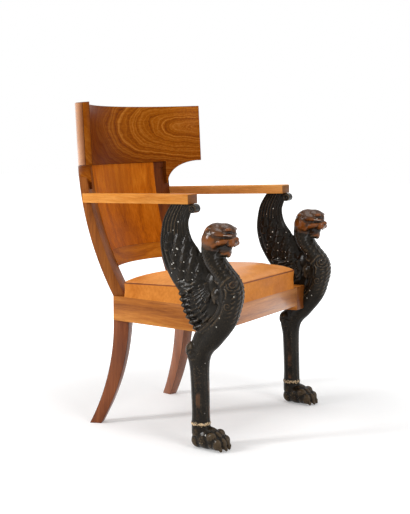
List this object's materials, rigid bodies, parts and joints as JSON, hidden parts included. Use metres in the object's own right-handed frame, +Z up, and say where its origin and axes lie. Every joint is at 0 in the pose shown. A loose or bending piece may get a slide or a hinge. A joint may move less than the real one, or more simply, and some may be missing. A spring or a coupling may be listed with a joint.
{
  "type": "desk armchair",
  "caption": "Mahogany desk armchair with a concave tilted crest tablet, raked back, straight arms, sabre rear legs, leather seat and carved winged-lion front supports.",
  "frame": {"origin": "on the floor under the middle of the chair's outline", "axes": "+Z up, the sitter faces -Y, the sitter's left is +X"},
  "size_m": [0.6508, 0.6084, 0.92],
  "materials": {
    "mahogany": "polished mahogany veneer and solid",
    "ebonised_carving": "carved wood, blackened and worn at the high spots",
    "inner_wood": "plain beech, unpolished",
    "leather": "tan leather, aged and polished by use",
    "webbing": "woven linen webbing",
    "hessian": "open woven jute",
    "stuffing": "teased horsehair",
    "steel": "plain steel"
  },
  "bodies": {
    "root": {"crest_tablet": "mahogany", "back_panel": "mahogany", "lower_back_rail": "mahogany", "front_rail": "mahogany", "rear_rail": "inner_wood", "left_stile": "mahogany", "right_stile": "mahogany", "left_arm": "mahogany", "right_arm": "mahogany", "left_rear_leg": "mahogany", "right_rear_leg": "mahogany", "left_side_rail": "mahogany", "right_side_rail": "mahogany", "left_lion": "ebonised_carving", "right_lion": "ebonised_carving", "left_wing": "ebonised_carving", "right_wing": "ebonised_carving", "left_front_corner_block": "inner_wood", "right_front_corner_block": "inner_wood", "left_rear_corner_block": "inner_wood", "right_rear_corner_block": "inner_wood", "lengthwise_webbing": "webbing", "crosswise_webbing": "webbing", "seat_hessian": "hessian", "seat_stuffing": "stuffing", "seat_leather_border": "leather", "seat_leather_top": "leather", "arm_dowels": "inner_wood", "wing_dowels": "inner_wood", "lion_screws": "steel"}
  },
  "joints": []
}
